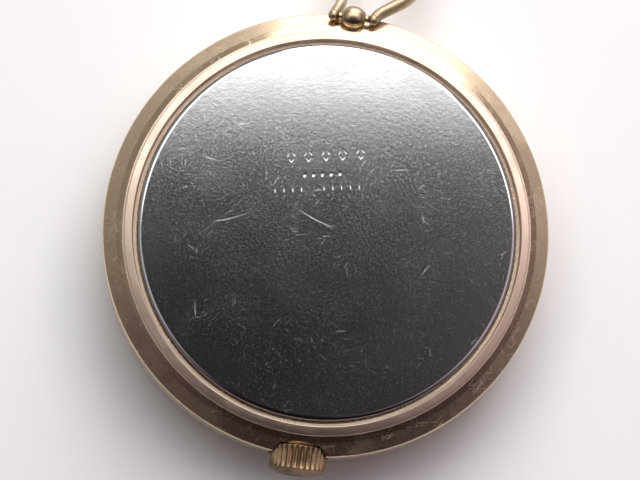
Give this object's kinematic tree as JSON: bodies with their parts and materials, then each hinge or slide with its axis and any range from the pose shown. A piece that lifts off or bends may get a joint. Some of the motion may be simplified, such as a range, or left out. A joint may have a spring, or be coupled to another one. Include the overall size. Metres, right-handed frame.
{
  "type": "pendant watch",
  "caption": "Round hand-wound pendant watch, gilt case with a push-fit brushed steel back, a knurled winding crown and a swinging bow.",
  "frame": {"origin": "centre of the crystal's flat outer face, on which the watch lies face down", "axes": "+Z from the crystal to the case back, +Y towards the bow, so the crown is on -Y and the dial's twelve points to -Y"},
  "size_m": [0.038, 0.047, 0.0087],
  "materials": {
    "gilt": "thin gold plating on brass, worn warm at the edges",
    "gilt_polished": "polished gold plating",
    "brushed_steel": "fine straight brushing, scratched in wear",
    "nickel": "nickel-plated brass",
    "steel": "polished steel",
    "blued_steel": "heat-blued steel",
    "spring_steel": "plain spring steel",
    "brass": "plain brass",
    "crystal": "clear, bevelled",
    "dial": "silvered, matt",
    "rubber": "matt black",
    "ruby": "polished synthetic ruby"
  },
  "bodies": {
    "case": {"case_band": "gilt", "bow_lug": "gilt", "bezel": "gilt_polished", "crystal_ring": "gilt_polished", "crown_tube": "nickel", "movement_ring": "nickel", "main_plate": "nickel", "barrel_bridge": "nickel", "train_bridge": "nickel", "balance_cock": "nickel", "pallet_bridge": "nickel", "clamp_left": "steel", "clamp_right": "steel", "clamp_screw_left": "blued_steel", "clamp_screw_right": "blued_steel", "bridge_screw_1": "blued_steel", "bridge_screw_2": "blued_steel", "bridge_screw_3": "blued_steel", "bridge_screw_4": "blued_steel", "bridge_screw_5": "blued_steel", "cock_screw": "blued_steel", "pallet_screw": "blued_steel", "crown_wheel_screw": "blued_steel", "hairspring": "blued_steel", "click_spring": "spring_steel", "crystal": "crystal", "dial": "dial", "back_gasket": "rubber", "cap_jewel": "ruby"},
    "back": {"case_back": "brushed_steel"},
    "crown_slide": {"crown_gasket": "rubber"},
    "crown": {"crown": "gilt", "stem": "steel"},
    "sliding_pinion": {"sliding_pinion": "steel"},
    "winding_pinion": {"winding_pinion": "steel"},
    "crown_wheel": {"crown_wheel": "steel"},
    "ratchet": {"ratchet_wheel": "steel", "barrel_arbor": "steel", "ratchet_screw": "blued_steel"},
    "click": {"click": "steel"},
    "setting_lever": {"setting_lever": "steel"},
    "yoke": {"yoke": "steel"},
    "minute_hand": {"minute_hand": "gilt_polished", "cannon_pinion": "steel"},
    "minute_wheel": {"minute_wheel": "brass"},
    "hour_hand": {"hour_hand": "gilt_polished", "hour_wheel": "brass"},
    "setting_wheel": {"setting_wheel": "steel"},
    "barrel": {"barrel": "brass", "barrel_cover": "brass", "mainspring": "spring_steel"},
    "centre_wheel": {"centre_wheel": "brass"},
    "third_wheel": {"third_wheel": "brass"},
    "fourth_wheel": {"fourth_wheel": "brass"},
    "escape_wheel": {"escape_wheel": "steel"},
    "balance": {"balance_wheel": "brass"},
    "pallet_fork": {"pallet_fork": "steel"},
    "regulator": {"regulator": "steel"},
    "bow": {"bow": "gilt"}
  },
  "joints": [
    {"name": "back_lift", "type": "slide", "parent": "case", "child": "back", "axis": [0, 0, 1], "range_m": [0, 0.012]},
    {"name": "crown_pull", "type": "slide", "parent": "case", "child": "crown_slide", "axis": [0, -1, 0], "range_m": [0, 0.0009]},
    {"name": "crown_turn", "type": "hinge", "parent": "crown_slide", "child": "crown", "pos_m": [0, -0.0175, 0.0055], "axis": [0, -1, 0], "continuous": true},
    {"name": "sliding_pinion_shift", "type": "slide", "parent": "crown", "child": "sliding_pinion", "axis": [0, 1, 0], "range_m": [0, 0.0017]},
    {"name": "winding_pinion_turn", "type": "hinge", "parent": "case", "child": "winding_pinion", "pos_m": [0, -0.009, 0.0055], "axis": [0, -1, 0], "continuous": true},
    {"name": "crown_wheel_turn", "type": "hinge", "parent": "case", "child": "crown_wheel", "pos_m": [0, -0.0062, 0.0072], "axis": [0, 0, 1], "continuous": true},
    {"name": "ratchet_turn", "type": "hinge", "parent": "case", "child": "ratchet", "pos_m": [-0.00592, -0.00215, 0.0072], "axis": [0, 0, 1], "continuous": true},
    {"name": "click_lift", "type": "hinge", "parent": "case", "child": "click", "pos_m": [-0.00718, 0.00376, 0.0072], "axis": [0, 0, 1], "range_deg": [-12, 0], "stiffness_Nm_per_rad": 0.0002},
    {"name": "setting_lever_swing", "type": "hinge", "parent": "case", "child": "setting_lever", "pos_m": [0.0026, -0.0102, 0.004], "axis": [0, 0, 1], "range_deg": [0, 21.5]},
    {"name": "yoke_swing", "type": "hinge", "parent": "case", "child": "yoke", "pos_m": [-0.003, -0.0098, 0.0036], "axis": [0, 0, 1], "range_deg": [0, 17]},
    {"name": "minute_hand_turn", "type": "hinge", "parent": "case", "child": "minute_hand", "pos_m": [0, 0, 0.003], "axis": [0, 0, 1], "continuous": true},
    {"name": "minute_wheel_turn", "type": "hinge", "parent": "case", "child": "minute_wheel", "pos_m": [0.00098, -0.00271, 0.0038], "axis": [0, 0, 1], "continuous": true},
    {"name": "hour_hand_turn", "type": "hinge", "parent": "case", "child": "hour_hand", "pos_m": [0, 0, 0.003], "axis": [0, 0, 1], "continuous": true},
    {"name": "setting_wheel_turn", "type": "hinge", "parent": "case", "child": "setting_wheel", "pos_m": [0.00046, -0.00568, 0.0039], "axis": [0, 0, 1], "continuous": true},
    {"name": "barrel_turn", "type": "hinge", "parent": "case", "child": "barrel", "pos_m": [-0.00592, -0.00215, 0.0055], "axis": [0, 0, 1], "continuous": true, "deforming": ["mainspring"]},
    {"name": "centre_wheel_turn", "type": "hinge", "parent": "case", "child": "centre_wheel", "pos_m": [0, 0, 0.006], "axis": [0, 0, 1], "continuous": true},
    {"name": "third_wheel_turn", "type": "hinge", "parent": "case", "child": "third_wheel", "pos_m": [0.00047, 0.00538, 0.006], "axis": [0, 0, 1], "continuous": true},
    {"name": "fourth_wheel_turn", "type": "hinge", "parent": "case", "child": "fourth_wheel", "pos_m": [0.00482, 0.00461, 0.006], "axis": [0, 0, 1], "continuous": true},
    {"name": "escape_wheel_turn", "type": "hinge", "parent": "case", "child": "escape_wheel", "pos_m": [0.00716, 0.00183, 0.006], "axis": [0, 0, 1], "continuous": true},
    {"name": "balance_swing", "type": "hinge", "parent": "case", "child": "balance", "pos_m": [0.0057, -0.004, 0.006], "axis": [0, 0, 1], "range_deg": [-270, 270], "stiffness_Nm_per_rad": 0.0000003, "deforming": ["hairspring"]},
    {"name": "pallet_fork_swing", "type": "hinge", "parent": "case", "child": "pallet_fork", "pos_m": [0.00649, -0.00084, 0.0051], "axis": [0, 0, 1], "range_deg": [-4, 4]},
    {"name": "regulator_shift", "type": "hinge", "parent": "case", "child": "regulator", "pos_m": [0.0057, -0.004, 0.0077], "axis": [0, 0, 1], "range_deg": [-12, 12]},
    {"name": "bow_swing", "type": "hinge", "parent": "case", "child": "bow", "pos_m": [0, 0.0187, 0.0077], "axis": [1, 0, 0], "range_deg": [-2, 170]}
  ],
  "couplings": [
    {"joint": "sliding_pinion_shift", "follows": "crown_pull", "ratio": 1.88},
    {"joint": "setting_lever_swing", "follows": "crown_pull", "rad_per_m": 416},
    {"joint": "yoke_swing", "follows": "crown_pull", "rad_per_m": 328},
    {"joint": "winding_pinion_turn", "follows": "crown_turn", "ratio": 1},
    {"joint": "crown_wheel_turn", "follows": "crown_turn", "ratio": -0.5},
    {"joint": "ratchet_turn", "follows": "crown_turn", "ratio": 0.3125},
    {"joint": "minute_wheel_turn", "follows": "minute_hand_turn", "ratio": -0.33333},
    {"joint": "hour_hand_turn", "follows": "minute_hand_turn", "ratio": 0.083333},
    {"joint": "setting_wheel_turn", "follows": "minute_hand_turn", "ratio": 0.83333},
    {"joint": "third_wheel_turn", "follows": "fourth_wheel_turn", "ratio": -0.13333},
    {"joint": "centre_wheel_turn", "follows": "fourth_wheel_turn", "ratio": 0.016667},
    {"joint": "barrel_turn", "follows": "fourth_wheel_turn", "ratio": -0.0027778},
    {"joint": "escape_wheel_turn", "follows": "fourth_wheel_turn", "ratio": -10},
    {"joint": "pallet_fork_swing", "follows": "balance_swing", "ratio": -0.0148}
  ]
}
